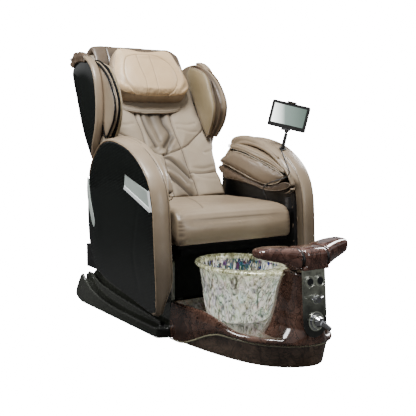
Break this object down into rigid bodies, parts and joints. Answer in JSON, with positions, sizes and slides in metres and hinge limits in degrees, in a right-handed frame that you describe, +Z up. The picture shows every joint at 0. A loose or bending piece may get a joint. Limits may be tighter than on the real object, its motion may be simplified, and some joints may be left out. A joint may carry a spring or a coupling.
{
  "type": "pedicure spa chair",
  "caption": "Reclining padded massage armchair on a glossy base, with a plumbed glass foot bowl, a chrome control panel and a moulded footrest in front.",
  "frame": {"origin": "on the floor, under the front part of the seat, at the middle of the chair's width", "axes": "+Z up, the sitter faces -Y, +X is the sitter's left side, where the tablet is"},
  "size_m": [0.9111, 1.7125, 1.3779],
  "materials": {
    "taupe_leather": "soft grained upholstery leather, taupe",
    "back_leather": "soft grained upholstery leather, light taupe",
    "inner_leather": "grained upholstery leather, olive beige",
    "pillow_leather": "smooth grained upholstery leather, cream beige",
    "black_gloss": "polished black lacquered shell",
    "core_board": "foam faced board, hidden",
    "skirt_gloss": "polished dark grey green moulding",
    "black_plastic": "fine grained black plastic",
    "grey_plastic": "dark grey moulded plastic",
    "brown_fibreglass": "gel coated fibreglass, marbled brown with copper",
    "plinth_fibreglass": "gel coated fibreglass, plain brown",
    "pale_bead": "pale sealing bead",
    "crystal_glass": "thick rippled iridescent glass",
    "chrome": "polished chrome",
    "panel_mirror": "mirror polished chrome plate",
    "window_chrome": "bright satin chrome trim",
    "brass": "plain brass fittings",
    "steel": "grey painted steel tube and sheet",
    "screen_glass": "black tablet case with a blank glass screen",
    "cable_rubber": "matt black rubber"
  },
  "bodies": {
    "base": {"base_frame": "steel", "side_cover_left": "skirt_gloss", "side_cover_right": "skirt_gloss", "front_panel": "black_gloss", "rear_housing": "black_plastic", "base_plinth": "plinth_fibreglass", "belt_trim": "pale_bead", "base_tub": "brown_fibreglass", "bowl": "crystal_glass", "bowl_fittings": "chrome", "control_panel": "panel_mirror", "valve_trim": "chrome", "sprayer_holder": "chrome", "footrest_hub": "brown_fibreglass", "drain_pump": "black_plastic", "control_box": "grey_plastic", "water_inlets": "brass"},
    "carriage": {"seat_frame": "steel", "seat_cushion": "taupe_leather", "arm_shell_left": "black_gloss", "arm_shell_right": "black_gloss", "arm_core_left": "core_board", "arm_core_right": "core_board", "arm_band_left": "taupe_leather", "arm_band_right": "taupe_leather", "arm_pod_left": "taupe_leather", "arm_pod_right": "taupe_leather", "arm_roll_left": "taupe_leather", "arm_roll_right": "taupe_leather", "arm_pads_left": "taupe_leather", "arm_pads_right": "taupe_leather", "arm_windows": "window_chrome", "switch_housing": "black_plastic", "remote_cable": "cable_rubber"},
    "backrest": {"back_frame": "steel", "back_cushion": "back_leather", "back_shell": "black_gloss", "wing_shell_left": "black_gloss", "wing_shell_right": "black_gloss", "wing_band_left": "taupe_leather", "wing_band_right": "taupe_leather", "wing_pads_left": "inner_leather", "wing_pads_right": "inner_leather", "head_hood": "back_leather", "pillow": "pillow_leather", "neck_apron": "back_leather"},
    "massage": {"massage_carriage": "grey_plastic"},
    "rest": {"footrest": "brown_fibreglass"},
    "button_left": {"air_button_left": "chrome"},
    "button_right": {"air_button_right": "chrome"},
    "diverter": {"diverter_handle": "chrome"},
    "mixer": {"mixer_lever": "chrome"},
    "sprayer": {"hand_sprayer": "chrome"},
    "impeller": {"jet_impeller": "grey_plastic"},
    "rocker_up": {"rocker_up": "grey_plastic"},
    "rocker_down": {"rocker_down": "grey_plastic"},
    "post": {"tablet_post": "black_gloss"},
    "tablet": {"tablet": "screen_glass"}
  },
  "joints": [
    {"name": "seat_slide", "type": "slide", "parent": "base", "child": "carriage", "axis": [0, 1, 0], "range_m": [0, 0.12]},
    {"name": "back_recline", "type": "hinge", "parent": "carriage", "child": "backrest", "pos_m": [0, 0.14071, 0.49755], "axis": [-1, 0, 0], "range_deg": [0, 28]},
    {"name": "massage_travel", "type": "slide", "parent": "backrest", "child": "massage", "axis": [0, 0.5075, 0.8616], "range_m": [-0.2, 0.35]},
    {"name": "footrest_tilt", "type": "hinge", "parent": "base", "child": "rest", "pos_m": [0.018, -0.884, 0.447], "axis": [-1, 0, 0], "range_deg": [0, 30]},
    {"name": "button_left_press", "type": "slide", "parent": "base", "child": "button_left", "axis": [0, 0.9973, -0.0732], "range_m": [0, 0.003], "stiffness_N_per_m": 600},
    {"name": "button_right_press", "type": "slide", "parent": "base", "child": "button_right", "axis": [0, 0.9973, -0.0732], "range_m": [0, 0.003], "stiffness_N_per_m": 600},
    {"name": "diverter_turn", "type": "hinge", "parent": "base", "child": "diverter", "pos_m": [0.018, -0.93541, 0.28732], "axis": [0, -0.9973, 0.0732], "range_deg": [-45, 45]},
    {"name": "mixer_turn", "type": "hinge", "parent": "base", "child": "mixer", "pos_m": [0.018, -0.94178, 0.20055], "axis": [0, -0.9973, 0.0732], "range_deg": [-50, 50]},
    {"name": "sprayer_lift", "type": "slide", "parent": "base", "child": "sprayer", "axis": [0, 0, 1], "range_m": [0, 0.06]},
    {"name": "impeller_spin", "type": "hinge", "parent": "base", "child": "impeller", "pos_m": [0, -0.516, 0.145], "axis": [0, 0, 1], "continuous": true},
    {"name": "rocker_up_press", "type": "hinge", "parent": "carriage", "child": "rocker_up", "pos_m": [0.308, -0.406, 0.6145], "axis": [0, 1, 0], "range_deg": [-6, 6], "stiffness_Nm_per_rad": 0.05},
    {"name": "rocker_down_press", "type": "hinge", "parent": "carriage", "child": "rocker_down", "pos_m": [0.308, -0.406, 0.5895], "axis": [0, 1, 0], "range_deg": [-6, 6], "stiffness_Nm_per_rad": 0.05},
    {"name": "post_swivel", "type": "hinge", "parent": "carriage", "child": "post", "pos_m": [0.375, -0.279, 0.848], "axis": [0, -0.5, 0.866], "range_deg": [-50, 50]},
    {"name": "tablet_tilt", "type": "hinge", "parent": "post", "child": "tablet", "pos_m": [0.384, -0.2973, 0.9336], "axis": [0.756, -0.6122, -0.2317], "range_deg": [-15, 15]}
  ]
}
